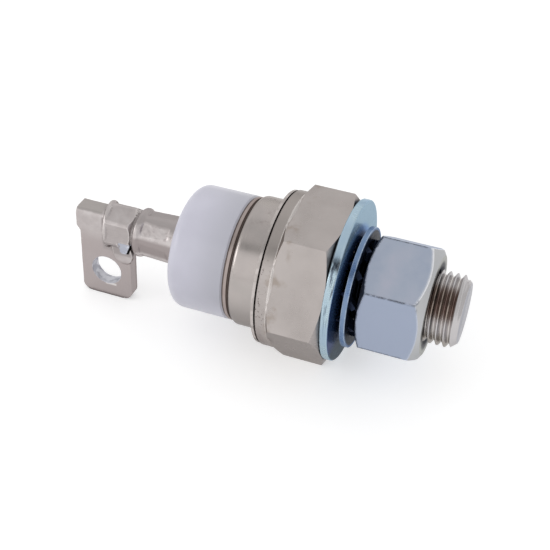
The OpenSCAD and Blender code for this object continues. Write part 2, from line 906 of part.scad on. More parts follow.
// A closed tube of round section along a path, with a radius at each point and its ends capped.
module swept(path, radii, sides, across) {
    n = len(path);
    function along(i) = unit(path[min(i + 1, n - 1)] - path[max(i - 1, 0)]);
    function side(i) = unit(cross(along(i), across));
    points = [for (i = [0 : n - 1]) let (u = side(i), v = cross(along(i), u))
        for (k = [0 : sides - 1])
            path[i] + radii[i] * (u * cos(360 * k / sides) + v * sin(360 * k / sides))];
    faces = concat([[for (k = [0 : sides - 1]) k]],
        [for (i = [0 : n - 2]) for (k = [0 : sides - 1]) let (m = (k + 1) % sides)
            [i * sides + k, (i + 1) * sides + k, (i + 1) * sides + m, i * sides + m]],
        [[for (k = [sides - 1 : -1 : 0]) (n - 1) * sides + k]]);
    polyhedron(points, faces);
}

stud_base();
weld_ring();
cap_shell();
seal_ring();
ceramic_insulator();
seal_ferrule();
neck_tube();
flag_terminal();
flat_washer();
lock_washer();
hex_nut();
lower_disc();
silicon_die();
edge_seal();
upper_disc();
cathode_post();
centring_ring();
insulating_collar();
pressure_plate();
disc_springs();
spring_cage();
inner_lead();
gate_pin();
gate_spring();
gate_sleeve();
gate_wire();
gate_tube();
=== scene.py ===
"""Stud-mounted power thyristor with its washers and nut, lying on its side."""

import json
import math

import bmesh
import bpy
from mathutils import Matrix, Vector, noise

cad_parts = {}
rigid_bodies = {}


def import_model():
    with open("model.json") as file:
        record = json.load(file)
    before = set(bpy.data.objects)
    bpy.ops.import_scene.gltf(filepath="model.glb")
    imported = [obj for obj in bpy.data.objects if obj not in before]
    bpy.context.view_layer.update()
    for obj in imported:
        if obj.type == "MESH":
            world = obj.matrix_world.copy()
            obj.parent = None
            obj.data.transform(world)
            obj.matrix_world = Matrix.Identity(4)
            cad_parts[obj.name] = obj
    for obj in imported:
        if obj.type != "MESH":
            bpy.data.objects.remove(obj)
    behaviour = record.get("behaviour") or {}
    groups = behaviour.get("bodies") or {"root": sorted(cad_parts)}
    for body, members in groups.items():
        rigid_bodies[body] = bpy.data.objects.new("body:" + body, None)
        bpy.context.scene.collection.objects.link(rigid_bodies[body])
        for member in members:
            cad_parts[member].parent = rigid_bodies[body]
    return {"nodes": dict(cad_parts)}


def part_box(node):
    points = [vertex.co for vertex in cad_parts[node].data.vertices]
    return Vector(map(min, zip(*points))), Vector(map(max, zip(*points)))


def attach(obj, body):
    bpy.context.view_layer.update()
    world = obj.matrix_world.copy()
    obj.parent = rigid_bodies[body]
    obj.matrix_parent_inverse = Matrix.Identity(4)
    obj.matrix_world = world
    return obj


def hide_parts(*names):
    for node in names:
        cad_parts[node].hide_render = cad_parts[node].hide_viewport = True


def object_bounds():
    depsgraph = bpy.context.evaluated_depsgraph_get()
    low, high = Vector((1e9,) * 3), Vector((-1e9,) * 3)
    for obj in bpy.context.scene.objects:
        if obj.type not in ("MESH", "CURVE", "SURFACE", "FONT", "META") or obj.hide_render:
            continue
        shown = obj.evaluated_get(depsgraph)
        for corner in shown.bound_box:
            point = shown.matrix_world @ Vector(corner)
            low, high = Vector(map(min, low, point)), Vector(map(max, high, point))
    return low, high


MM = 0.001

for leftover in list(bpy.data.objects):
    bpy.data.objects.remove(leftover)
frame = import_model()
nodes = frame["nodes"]
cad_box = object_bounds()


# Camera

# The photograph's width and its lens, in pixels, and the sensor's width in millimetres
IMAGE = 550
FOCAL_PIXELS = 1113.9
SENSOR = 36.0
# The device's turns before the camera in degrees, and the camera's distance, aim and lift in millimetres
CAMERA_TURNS = (14.83, 37.87, 14.33)
CAMERA_DISTANCE = 195.34
CAMERA_AIM = (-12.667, 0, 0)
CAMERA_LIFT = -1.695


def aim_camera():
    """The photograph's viewpoint, from a fit to the device's own edges."""
    alpha, beta, theta = (math.radians(turn) for turn in CAMERA_TURNS)
    back = Vector((math.sin(alpha), -math.cos(alpha) * math.cos(beta), math.cos(alpha) * math.sin(beta)))
    axis = Vector((1, 0, 0))
    along_axis = (axis - axis.dot(back) * back).normalized()
    across_axis = back.cross(along_axis)
    right = math.cos(theta) * along_axis + math.sin(theta) * across_axis
    up = -math.sin(theta) * along_axis + math.cos(theta) * across_axis
    place = (back * CAMERA_DISTANCE + Vector(CAMERA_AIM) + up * CAMERA_LIFT) * MM
    data = bpy.data.cameras.new("camera")
    data.sensor_width = SENSOR
    data.lens = SENSOR * FOCAL_PIXELS / IMAGE
    data.clip_start = 0.005
    camera = bpy.data.objects.new("camera", data)
    camera.matrix_world = Matrix.Translation(place) @ Matrix((right, up, back)).transposed().to_4x4()
    bpy.context.scene.collection.objects.link(camera)
    bpy.context.scene.camera = camera


aim_camera()


# Places on the device, in millimetres. X runs along its axis towards the stud's end, and 0 is the
# hexagon's seat.

STUD_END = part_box("stud_base")[1].x / MM
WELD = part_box("cap_shell")[1].x / MM
CAP_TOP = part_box("cap_shell")[0].x / MM
CERAMIC_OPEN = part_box("ceramic_insulator")[1].x / MM
WASHER_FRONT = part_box("flat_washer")[1].x / MM
NUT_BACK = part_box("hex_nut")[0].x / MM
NUT_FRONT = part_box("hex_nut")[1].x / MM
NECK_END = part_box("neck_tube")[0].x / MM
COLLAR_HEIGHT = 2.25
HEXAGON_BACK = WELD + COLLAR_HEIGHT
# The terminal's barrel, the hole in its plate and the curved foot of its pad
NECK_GAP = 0.5
BARREL_LENGTH = 6.5
BARREL_FACE = NECK_END - NECK_GAP
BARREL_END = BARREL_FACE - BARREL_LENGTH
HOLE_RADIUS = 2.9
HOLE_X = BARREL_FACE - 5.65
HOLE_Z = -8.8
HOLE_FOOT = HOLE_Z - HOLE_RADIUS
PAD_RADIUS = 1.95
PAD_X = BARREL_FACE - 1.9
PAD_Z = -4.25
# Centres that marks are measured from: the axis, the front of the thread, the nut's front corner, a
# smudge on the flat washer's rim and the middle of the painted shade and reflection on its face
AXIS = (0, 0, 0)
THREAD_FRONT = (0, -4.6, 4.6)
NUT_CORNER = (NUT_FRONT - 1.7, -9.2, 5.9)
SMUDGE = (0.9, -9.8, 10.3)
FACE_SHADE_CENTRE = (0, -2.5, -2.0)


# Shader nodes


def linear(code):
    """An sRGB hex colour as linear red, green, blue and alpha."""
    parts = [int(code[i : i + 2], 16) / 255 for i in (0, 2, 4)]
    return tuple(c / 12.92 if c <= 0.04045 else ((c + 0.055) / 1.055) ** 2.4 for c in parts) + (1.0,)


def add(tree, kind, inputs=None, **settings):
    """Adds a shader node with its settings, and sets or links its inputs."""
    node = tree.nodes.new("ShaderNode" + kind)
    for key, value in settings.items():
        setattr(node, key, value)
    for key, value in (inputs or {}).items():
        if isinstance(value, bpy.types.NodeSocket):
            tree.links.new(value, node.inputs[key])
        else:
            node.inputs[key].default_value = value
    return node


def empty_tree(owner):
    """The node tree of a material or a world, with nothing in it."""
    owner.use_nodes = True
    owner.node_tree.nodes.clear()
    return owner.node_tree


class Skin:
    """A material in the making: its nodes, its Object coordinates and its colour so far. Its sizes and
    stations are in millimetres. Its masks are 1 where their words hold and 0 elsewhere, and a step in
    them runs from its first number to its second, upwards or downwards."""

    def __init__(self, name):
        self.material = bpy.data.materials.new(name)
        self.tree = empty_tree(self.material)
        self.place = add(self.tree, "TexCoord").outputs["Object"]
        self.colour = None

    def past(self, value, *steps):
        """Where a value is past every step."""
        masks = [add(self.tree, "MapRange", {"Value": value, "From Min": start, "From Max": end},
                     interpolation_type="SMOOTHSTEP").outputs["Result"] for start, end in steps]
        return self.all_of(masks)

    def all_of(self, masks):
        """Where every mask holds."""
        cover = masks[0]
        for mask in masks[1:]:
            cover = add(self.tree, "Math", {0: cover, 1: mask}, operation="MULTIPLY").outputs[0]
        return cover

    def past_mm(self, distance, *steps):
        """Where a distance, which the nodes hold in metres, is past every step in millimetres."""
        return self.past(distance, *[(start * MM, end * MM) for start, end in steps])

    def along(self, axis, *steps):
        """Where a point's station along X, Y or Z is past every step."""
        station = add(self.tree, "SeparateXYZ", {"Vector": self.place}).outputs[axis]
        return self.past_mm(station, *steps)

    def around(self, centre, axes, *steps):
        """Where the distance from a centre, measured in the named axes alone, is past every step."""
        middle = tuple(c * MM for c in centre)
        kept = tuple(float(axis in axes) for axis in "XYZ")
        shift = add(self.tree, "VectorMath", {0: self.place, 1: middle}, operation="SUBTRACT")
        flat = add(self.tree, "VectorMath", {0: shift.outputs[0], 1: kept}, operation="MULTIPLY")
        distance = add(self.tree, "VectorMath", {0: flat.outputs[0]}, operation="LENGTH")
        return self.past_mm(distance.outputs["Value"], *steps)

    def facing(self, axis, start, end):
        """Where the surface faces along an axis. 1 is straight along it, 0 square to it, -1 against it."""
        normal = add(self.tree, "NewGeometry").outputs["True Normal"]
        return self.past(add(self.tree, "SeparateXYZ", {"Vector": normal}).outputs[axis], (start, end))

    def clouds(self, size, detail=3.0, lay=(1, 1, 1)):
        """Cloudy noise of a size, drawn out along the axes where lay is under 1."""
        stretched = add(self.tree, "Mapping", {"Vector": self.place, "Scale": lay}).outputs["Vector"]
        noisy = {"Vector": stretched, "Scale": 1 / (size * MM), "Detail": detail}
        return add(self.tree, "TexNoise", noisy).outputs["Fac"]

    def patches(self, size, start, end, detail=3.0, lay=(1, 1, 1)):
        """Irregular patches of a size, where the clouds are past a step."""
        return self.past(self.clouds(size, detail, lay), (start, end))

    def hollows(self, reach, start=0.75, end=0.35):
        """Corners, creases and narrow gaps, by how much of the sky is open within reach."""
        sky = add(self.tree, "AmbientOcclusion", {"Distance": reach * MM}, samples=8)
        return self.past(sky.outputs["AO"], (start, end))

    def folds(self, start, end):
        """Ridges of a dense mesh, or its creases where the step runs down. 0.5 is flat."""
        return self.past(add(self.tree, "NewGeometry").outputs["Pointiness"], (start, end))

    def edges(self, radius):
        """Edges, where a rounded normal turns 4 to 14 degrees from the true one."""
        rounded = add(self.tree, "Bevel", {"Radius": radius * MM}, samples=6).outputs["Normal"]
        true = add(self.tree, "NewGeometry").outputs["Normal"]
        agreement = add(self.tree, "VectorMath", {0: rounded, 1: true}, operation="DOT_PRODUCT")
        return self.past(agreement.outputs["Value"], (0.998, 0.97))

    def stain(self, code, *masks):
        """Lays a colour over the skin where every mask holds."""
        cover = self.all_of(masks)
        layers = {"Factor": cover, "A": self.colour, "B": linear(code)}
        self.colour = add(self.tree, "Mix", layers, data_type="RGBA").outputs["Result"]

    def finished(self, height, depth, strength, gloss):
        """The material, with its colour, bumps of a depth and what sets its gloss."""
        relief = {"Height": height, "Distance": depth * MM, "Strength": strength}
        normal = add(self.tree, "Bump", relief).outputs["Normal"]
        shader = add(self.tree, "BsdfPrincipled", {"Base Color": self.colour, "Normal": normal, **gloss})
        add(self.tree, "OutputMaterial", {"Surface": shader.outputs["BSDF"]})
        return self.material


# Finishes


def metal(name, colours, rough, cloud, grain, depth, marks, lay=(1, 1, 1), bare=1.0, sheen=0.5):
    """A plated metal: clouds in its colour and roughness, a fine grain that follows the tool's lay, and
    the piece's own marks with the light and shade painted on it. Under a hazy film less of it is bare,
    and a sheen pales it at a low angle.
    The plate's true grain is under 0.01 mm, so it is drawn 0.2 to 0.8 mm wide to show."""
    skin = Skin(name)
    tone = skin.clouds(cloud, 4.0)
    drift = add(skin.tree, "ValToRGB", {"Fac": tone})
    points = drift.color_ramp.elements
    while len(points) < len(colours):
        points.new(0.5)
    for i, code in enumerate(colours):
        points[i].position = 0.3 + 0.4 * i / (len(colours) - 1)
        points[i].color = linear(code)
    skin.colour = drift.outputs["Color"]
    marks(skin)
    tooling = skin.clouds(grain, 3.0, lay)
    uneven = add(skin.tree, "Math", {0: tone, 1: tooling}, operation="ADD").outputs[0]
    spread = {"Value": uneven, "From Min": 0.7, "From Max": 1.3, "To Min": rough[0], "To Max": rough[1]}
    roughness = add(skin.tree, "MapRange", spread).outputs["Result"]
    pale = {"Factor": sheen, "A": skin.colour, "B": (1, 1, 1, 1)}
    low_angle = add(skin.tree, "Mix", pale, data_type="RGBA").outputs["Result"]
    gloss = {"Metallic": bare, "Roughness": roughness, "Specular Tint": low_angle}
    return skin.finished(tooling, depth, 1.0, gloss)


def plain(name, code, rough, metallic=0.0, grain=0.3, depth=0.01):
    """A finish for what the housing hides: one colour with a fine grain."""
    skin = Skin(name)
    skin.colour = linear(code)
    texture = skin.clouds(grain)
    spread = {"Value": texture, "To Min": rough - 0.08, "To Max": rough + 0.08}
    roughness = add(skin.tree, "MapRange", spread).outputs["Result"]
    return skin.finished(texture, depth, 0.5, {"Metallic": metallic, "Roughness": roughness})


def glazed_alumina():
    """White alumina under a clear glaze: pale with a lavender cast, and painted shade on its upper side
    towards the metal.
    """
    skin = Skin("glazed_alumina")
    skin.colour = linear("cac9d6")
    skin.stain("d0cfdc", skin.patches(6, 0.3, 0.7))
    # painted shade on the upper side towards the metal
    skin.stain("b9b9c3", skin.along("X", (CERAMIC_OPEN - 8, CERAMIC_OPEN)), skin.along("Z", (-6, -1)))
    return skin.finished(skin.clouds(2.5, 2.0), 0.02, 0.3, {"Roughness": 0.28})


def base_marks_and_painted_light(skin):
    """Specks on the collar, a dark weld groove, a smear at the hexagon's back, painted shade underneath and
    on the collar's lower side, a darker band on the collar's top, painted highlights on the hexagon's back
    edges and chamfer on the upper side, and painted shade in the hollows at the washer."""
    specks = skin.patches(0.35, 0.63, 0.69, 2.0)
    skin.stain("6a605d", specks, skin.along("X", (WELD - 0.3, WELD), (WELD + 2.1, WELD + 1.8)))
    skin.stain("241f1f", skin.along("X", (WELD - 0.07, WELD - 0.05), (WELD + 0.28, WELD + 0.26)))
    at_step = ((HEXAGON_BACK - 1.9, HEXAGON_BACK - 0.4), (HEXAGON_BACK + 3.2, HEXAGON_BACK + 1.7))
    skin.stain("a0968f", skin.patches(2.5, 0.5, 0.7, 4.0), skin.along("X", *at_step))
    # painted shade on the faces that look down
    skin.stain("a39c99", skin.facing("Z", -0.35, -0.6))
    # painted shade on the collar's lower side
    at_collar = ((WELD - 0.7, WELD + 0.3), (WELD + 2.0, WELD + 1.0))
    skin.stain("9e9693", skin.along("X", *at_collar), skin.along("Z", (-2, -7)))
    # a darker band on the collar's top, just behind the hexagon
    behind_hexagon = ((WELD + 0.3, WELD + 0.4), (HEXAGON_BACK + 0.4, HEXAGON_BACK + 0.3))
    skin.stain("a59e9a", skin.along("X", *behind_hexagon), skin.along("Z", (6.5, 10)))
    # painted highlights on the hexagon's back edges and chamfer, on the upper side only
    upper_side = skin.along("Z", (-7, -1))
    rim = ((HEXAGON_BACK - 0.4, HEXAGON_BACK - 0.3), (HEXAGON_BACK + 0.3, HEXAGON_BACK + 0.2))
    skin.stain("e4dedb", skin.edges(0.3), skin.along("X", *rim), upper_side)
    chamfer = skin.along("X", (HEXAGON_BACK + 0.6, HEXAGON_BACK + 0.4))
    skin.stain("e4dedb", skin.facing("X", 0.5, 0.9), chamfer, upper_side)
    # painted shade in the hollows at the washer
    skin.stain("575254", skin.facing("X", 0.3, 0.4), skin.hollows(1.5, 0.95, 0.4))


def stud_marks_and_painted_light(skin):
    """Painted shade across the thread's upper front, with brown dirt and painted shade in its root there,
    roots painted paler elsewhere against their shade, painted shade underneath, a greyer cut end, and
    painted shade behind the nut.
    """
    threaded = skin.along("X", (STUD_END - 1.2, STUD_END - 1.4))
    root = skin.around(AXIS, "YZ", (5.95, 5.6))
    # painted shade across the thread's upper front
    skin.stain("94877f", threaded, skin.around(THREAD_FRONT, "YZ", (4.0, 2.0)))
    # roots painted paler to lift the shade in the grooves
    skin.stain("d2cecc", threaded, root)
    # painted shade underneath the thread
    skin.stain("a59f99", threaded, skin.along("Z", (-0.5, -3)))
    # brown dirt and painted shade in the root at the front
    skin.stain("7c6a63", threaded, root, skin.around(THREAD_FRONT, "YZ", (4.5, 1.5)))
    skin.stain("acacb2", skin.facing("X", 0.85, 0.95))
    # painted shade on the stud behind the nut
    skin.stain("16181f", skin.along("X", (NUT_BACK + 0.5, NUT_BACK)))


def ring_marks(skin):
    """Dark lines where the ring is brazed to the ceramic and to the cap."""
    for start, end in ((CERAMIC_OPEN - 0.1, CERAMIC_OPEN + 0.21), (CAP_TOP - 0.27, CAP_TOP + 0.1)):
        skin.stain("5a504c", skin.along("X", (start, start + 0.05), (end, end - 0.05)))


def cap_marks_and_painted_light(skin):
    """Dull smudges from handling, painted shade underneath, and a painted highlight on the flange, broken
    into patches.
    """
    skin.stain("9a918e", skin.patches(3, 0.55, 0.8), skin.patches(0.6, 0.4, 0.6))
    # painted shade on the faces that look down
    skin.stain("a19b98", skin.facing("Z", 0.05, -0.35))
    # painted highlight on the flange's rim, in patches
    skin.stain("c2bbb8", skin.around(AXIS, "YZ", (13.3, 13.5)), skin.patches(1.5, 0.4, 0.55))


def terminal_marks_and_painted_light(skin):
    """A duller plate, painted shade on the bar's top, the barrel's foot and the end, painted shade in the
    creases and gaps, painted highlights on the upper ridges, a bright line under the hole, the pad, and the
    tool's bright marks in the hole."""
    skin.stain("ada4a3", skin.along("Z", (0.5, -3.5)), skin.along("Y", (-2.9, -2.7)))
    bar = skin.along("X", (BARREL_END + 0.45, BARREL_END + 0.05))
    # painted shade on the bar's top
    skin.stain("b0aaa7", skin.facing("Z", 0.6, 0.9), bar)
    # painted shade on the barrel's underside
    barrel = skin.along("X", (BARREL_END + 0.15, BARREL_END + 0.55))
    skin.stain("a59e9d", skin.facing("Z", 0.5, 0.0), skin.along("Z", (-4.3, -3.8)), barrel)
    # painted shade on the faces that look along the axis at the back
    skin.stain("8f8684", skin.facing("X", 0.6, 0.8), skin.along("Y", (-0.9, -0.3)))
    # painted shade in the creases
    skin.stain("7a706e", skin.folds(0.485, 0.46))
    # painted shade in the corners and gaps
    skin.stain("544c4b", skin.hollows(1.2, 0.9, 0.45))
    # painted highlights on the ridges of the upper side
    skin.stain("cdc7c5", skin.folds(0.505, 0.525), skin.along("Z", (-4.5, -3.5)))
    line_length = skin.along("X", (HOLE_X - 0.5, HOLE_X - 0.2), (HOLE_X + 2.0, HOLE_X + 1.7))
    line_width = skin.along("Z", (HOLE_FOOT - 0.35, HOLE_FOOT - 0.2), (HOLE_FOOT + 0.25, HOLE_FOOT + 0.1))
    skin.stain("d8d4d2", line_length, line_width)
    pad_marks_and_painted_light(skin)
    hole = skin.around((HOLE_X, 0, HOLE_Z), "XZ", (HOLE_RADIUS + 0.13, HOLE_RADIUS + 0.08))
    skin.stain("cacad0", hole)
    skin.stain("a6a6ae", hole, skin.patches(1.5, 0.45, 0.6))


def pad_marks_and_painted_light(skin):
    """A pressed facet on the pad with a ragged left side, painted bright and bluish as its reflection
    with painted glints, painted shadow in the slot beside it, and a line of painted shade round the pad's
    curved foot."""
    station = add(skin.tree, "SeparateXYZ", {"Vector": skin.place}).outputs
    lean = {0: station["Z"], 1: -0.45, 2: station["X"]}
    slant = add(skin.tree, "Math", lean, operation="MULTIPLY_ADD").outputs[0]
    uneven = {"Value": skin.clouds(0.6), "To Min": -0.6 * MM, "To Max": 0.6 * MM}
    ragged = add(skin.tree, "MapRange", uneven).outputs["Result"]
    left = add(skin.tree, "Math", {0: station["X"], 1: ragged}, operation="ADD").outputs[0]
    slot = BARREL_FACE + 0.45
    facet = (skin.past_mm(slant, (BARREL_FACE - 3.0, BARREL_FACE - 2.95), (slot + 0.05, slot)),
             skin.past_mm(left, (BARREL_FACE - 2.25, BARREL_FACE - 2.05)),
             skin.along("Z", (-3.6, -3.5), (-0.7, -0.8)), skin.along("Y", (-2.9, -3.0)))
    # painted reflection: the facet bright and bluish
    skin.stain("b6b9c4", *facet)
    # painted glints on the facet
    skin.stain("cfd2db", *facet, skin.patches(0.8, 0.5, 0.65))
    # painted shadow in the slot
    in_slot = skin.past_mm(slant, (slot, slot + 0.05), (slot + 0.5, slot + 0.45))
    skin.stain("151414", in_slot, skin.along("Z", (-3.5, -3.3), (-0.7, -0.9)))
    # painted shade round the pad's curved foot
    ring = ((PAD_RADIUS - 0.18, PAD_RADIUS - 0.1), (PAD_RADIUS + 0.18, PAD_RADIUS + 0.1))
    skin.stain("786e6a", skin.around((PAD_X, 0, PAD_Z), "XZ", *ring), skin.along("Z", (-4.2, -4.6)),
               skin.along("Y", (-2.2, -2.4)))


def neck_marks_and_painted_shade(skin):
    """Painted shade in the creases at the pressed flats and in the hollows, a mottled skin, and darker
    bands along the tube, one at mid-height and one along its top.
    """
    # painted shade in the creases
    skin.stain("6a605e", skin.folds(0.485, 0.46))
    # painted shade in the hollows
    skin.stain("5c5453", skin.hollows(0.7))
    skin.stain("b0a8a7", skin.patches(0.7, 0.5, 0.7, 4.0))
    # darker at mid-height and along the top
    skin.stain("9c9392", skin.along("Z", (-2.1, -1.4), (1.7, 1.0)))
    skin.stain("aca5a4", skin.along("Z", (3.3, 3.7)))


def washer_marks_and_painted_light(skin):
    """Streaks and a smudge on the rim with a painted highlight on its front edge, and painted shade and
    reflection that turn the face blue and navy towards the toothed washer and dark towards the bottom.
    """
    streaks = skin.patches(1.0, 0.52, 0.62, 3.0, (5, 0.25, 0.25))
    skin.stain("4a5568", streaks, skin.along("Y", (-8, -12)), skin.around(AXIS, "YZ", (13.6, 14.0)))
    smudge = skin.patches(0.8, 0.38, 0.56, 5.0, (1, 0.4, 0.4))
    skin.stain("3a424c", skin.around(SMUDGE, "XYZ", (1.8, 0.6)), smudge)
    face = skin.along("X", (WASHER_FRONT - 0.1, WASHER_FRONT - 0.02))
    skin.stain("9fb9ca", face)
    # painted shade and reflection of the toothed washer on the face: blue, then navy nearer its middle
    skin.stain("7fa6d2", face, skin.around(FACE_SHADE_CENTRE, "YZ", (14.4, 13.1)))
    skin.stain("3f5a86", face, skin.around(FACE_SHADE_CENTRE, "YZ", (13.1, 11.8)))
    # painted shade on the face's lower part
    skin.stain("3d5a66", face, skin.along("Z", (-5, -8.5)))
    # painted highlight on the rim's front edge
    skin.stain("e6f1f8", skin.edges(0.2), skin.along("Y", (-3, -8)))


def toothed_painted_light(skin):
    """Painted shade on the teeth and faces inside a blue rim, and painted highlights in patches on the
    rim's edges.
    """
    # painted shade on the teeth and faces inside the rim
    skin.stain("2c3448", skin.around(AXIS, "YZ", (10.3, 10.1)), skin.facing("X", -0.9, -0.7))
    highlight_patches = skin.patches(1.2, 0.3, 0.55)
    # painted highlights on the rim's edges, in patches
    skin.stain("d5e3f0", skin.edges(0.2), highlight_patches, skin.around(AXIS, "YZ", (10.2, 10.35)))


def nut_marks_and_painted_light(skin):
    """A greyer turned end with painted shade in the mouth round the thread, painted shade on the front,
    dark patchy lines along the side edges, painted highlights on the chamfer line above the front corner,
    dark wear at that corner, and painted shade in the gaps."""
    end = skin.facing("X", 0.3, 0.4)
    skin.stain("babbbd", end)
    skin.stain("b2b3af", skin.facing("X", 0.9, 0.95))
    # painted shade in the mouth round the thread
    skin.stain("58585c", end, skin.around(AXIS, "YZ", (8.1, 7.2)))
    # painted shade on the front faces
    skin.stain("9ea7ba", skin.facing("Y", -0.7, -0.85))
    edge = skin.edges(0.5)
    sides = skin.along("X", (NUT_FRONT - 2.3, NUT_FRONT - 2.7))
    skin.stain("3c4048", edge, skin.patches(0.7, 0.3, 0.52, 4.0), sides)
    chamfer = (skin.along("X", (NUT_FRONT - 2.1, NUT_FRONT - 1.7)), skin.facing("X", 0.84, 0.78),
               skin.around(AXIS, "YZ", (7.9, 8.3)))
    # painted highlight on the chamfer line, brightest at the top
    skin.stain("c3c8d2", edge, *chamfer)
    skin.stain("fdfdfe", skin.edges(0.8), *chamfer, skin.along("Z", (5.6, 6.4)))
    at_corner = skin.around(NUT_CORNER, "XYZ", (2.0, 0.4))
    skin.stain("5a6370", edge, at_corner, skin.patches(0.5, 0.35, 0.6, 4.0))
    # painted shade in the gaps
    skin.stain("4c4e54", skin.hollows(1.2))


# Nickel plate on turned copper: warm grey and satin, with soft clouds and a faint orange peel.
nickel_base = metal("nickel_plate_on_turned_copper", ("a9a29f", "b0a9a6", "b6afac"), (0.26, 0.34),
                    cloud=6, grain=0.8, depth=0.001, marks=base_marks_and_painted_light)
# The same plate on the rolled thread: paler and shinier, with brown dirt in its root, and painted
# shade and light on the thread.
nickel_stud = metal("nickel_plate_on_thread", ("bab7b7", "c3c0c1"), (0.2, 0.28),
                    cloud=4, grain=0.6, depth=0.0006, marks=stud_marks_and_painted_light)
# Nickel plate on drawn steel: shinier than the base, with a fine lay round the axis.
nickel_cap = metal("nickel_plate_on_drawn_steel", ("aaa4a1", "b0a9a6", "b4ada9"), (0.2, 0.28),
                   cloud=4, grain=0.4, depth=0.001, lay=(3, 0.2, 0.2), marks=cap_marks_and_painted_light)
# Nickel plate on forged copper: a pale, matte and slightly rough skin.
nickel_terminal = metal("nickel_plate_on_forged_copper", ("b4adac", "bcb5b4", "c4bebd"), (0.32, 0.44),
                        cloud=1.6, grain=0.3, depth=0.003, marks=terminal_marks_and_painted_light)
# Nickel plate on the pressed tube: as pale and matte, mottled where the jaws bit.
nickel_neck = metal("nickel_plate_on_pressed_tube", ("b8b1b0", "c2bbba", "c9c3c2"), (0.3, 0.4),
                    cloud=1.6, grain=0.3, depth=0.003, marks=neck_marks_and_painted_shade)
# Nickel-iron brazed to the ceramic: a browner, duller ring.
nickel_iron = metal("nickel_iron_ring", ("a0938f", "b0a5a1"), (0.28, 0.38),
                    cloud=3, grain=0.2, depth=0.002, marks=ring_marks)
# Zinc with a blue passivation: pale blue, a little hazy under its film, with streaks on the rim.
zinc_washer = metal("blue_passivated_zinc_on_washer", ("a6bdd1", "afc5d3", "b6c9d1"), (0.2, 0.3),
                    cloud=5, grain=0.2, depth=0.0008, marks=washer_marks_and_painted_light, bare=0.6, sheen=0.1)
# The same finish on spring steel: a deeper blue.
zinc_toothed = metal("blue_passivated_zinc_on_toothed_washer", ("5f7aa4", "8ba1be"), (0.24, 0.34),
                     cloud=4, grain=0.2, depth=0.0008, marks=toothed_painted_light, bare=0.6, sheen=0.1)
# The same finish on the nut: greyer, satin and without the haze.
zinc_nut = metal("blue_passivated_zinc_on_nut", ("a6b0c3", "b0b8c8", "b8bccb"), (0.34, 0.42),
                 cloud=5, grain=0.2, depth=0.002, marks=nut_marks_and_painted_light)
# Fired alumina with a clear glaze: white with a lavender cast and soft highlights.
alumina = glazed_alumina()
# Inside the housing: bright rolled steel, darker oiled spring steel, grey lapped molybdenum, a dark
# mirror of silicon, orange bare copper, milky silicone, tan mica board, white fluoroplastic and gold.
steel = plain("bright_steel_strip", "8e8e90", 0.35, 1.0)
spring_steel = plain("oiled_spring_steel", "6c6c70", 0.4, 1.0)
molybdenum = plain("lapped_molybdenum", "8a8a8e", 0.45, 1.0, grain=0.1)
silicon = plain("alloyed_silicon", "3c4048", 0.15, 1.0, grain=0.5, depth=0.002)
copper = plain("bare_copper", "c77b55", 0.35, 1.0)
silicone = plain("moulded_silicone_rubber", "dcd8cc", 0.6)
mica_board = plain("pressed_mica_board", "b09a68", 0.6)
fluoroplastic = plain("turned_fluoroplastic", "ecece8", 0.45)
gold = plain("gold_plate_on_pin", "d8a94c", 0.2, 1.0)

FINISH = {
    "stud_base": nickel_base, "weld_ring": steel, "cap_shell": nickel_cap, "seal_ring": nickel_iron,
    "ceramic_insulator": alumina, "seal_ferrule": nickel_cap, "neck_tube": nickel_neck,
    "flag_terminal": nickel_terminal, "flat_washer": zinc_washer, "lock_washer": zinc_toothed,
    "hex_nut": zinc_nut, "lower_disc": molybdenum, "silicon_die": silicon, "edge_seal": silicone,
    "upper_disc": molybdenum, "cathode_post": copper, "centring_ring": fluoroplastic,
    "insulating_collar": mica_board, "pressure_plate": steel, "disc_springs": spring_steel,
    "spring_cage": steel, "inner_lead": copper, "gate_pin": gold, "gate_spring": spring_steel,
    "gate_sleeve": fluoroplastic, "gate_wire": fluoroplastic, "gate_tube": nickel_cap,
}
for node, finish in FINISH.items():
    for slot in nodes[node].material_slots:
        slot.material = finish


# Pieces

# Edges that turn by more than this are eased, in degrees
SHARP = 22
# Station in the thread's runout groove where the turned base ends and the threaded stud begins
STUD_CUT = 0.8


def cad_copy(node):
    """A CAD node's mesh, merged and with its flat faces whole again."""
    shape = bmesh.new()
    shape.from_mesh(nodes[node].data)
    bmesh.ops.remove_doubles(shape, verts=shape.verts, dist=0.001 * MM)
    bmesh.ops.dissolve_limit(shape, angle_limit=math.radians(0.5), verts=shape.verts, edges=shape.edges)
    return shape


def cut(shape, station, keep_above):
    """Cuts a shape square to the device's axis, keeps one side and closes it there."""
    side = 1 if keep_above else -1
    everything = list(shape.verts) + list(shape.edges) + list(shape.faces)
    bmesh.ops.bisect_plane(shape, geom=everything, dist=1e-7, plane_co=(station * MM, 0, 0),
                           plane_no=(-side, 0, 0), clear_outer=True)
    rim = [edge for edge in shape.edges if edge.is_boundary]
    bmesh.ops.holes_fill(shape, edges=rim, sides=0)


def add_piece(shape, name, node, material=None):
    """Makes a piece of a finished shape, which stands for a CAD node."""
    bmesh.ops.recalc_face_normals(shape, faces=shape.faces)
    mesh = bpy.data.meshes.new(name)
    shape.to_mesh(mesh)
    shape.free()
    stale = mesh.attributes.get("custom_normal")
    if stale:
        mesh.attributes.remove(stale)
    mesh.shade_smooth()
    piece = bpy.data.objects.new(name, mesh)
    bpy.context.scene.collection.objects.link(piece)
    mesh.materials.clear()
    mesh.materials.append(material or FINISH[node])
    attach(piece, "root")
    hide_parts(node)
    return piece


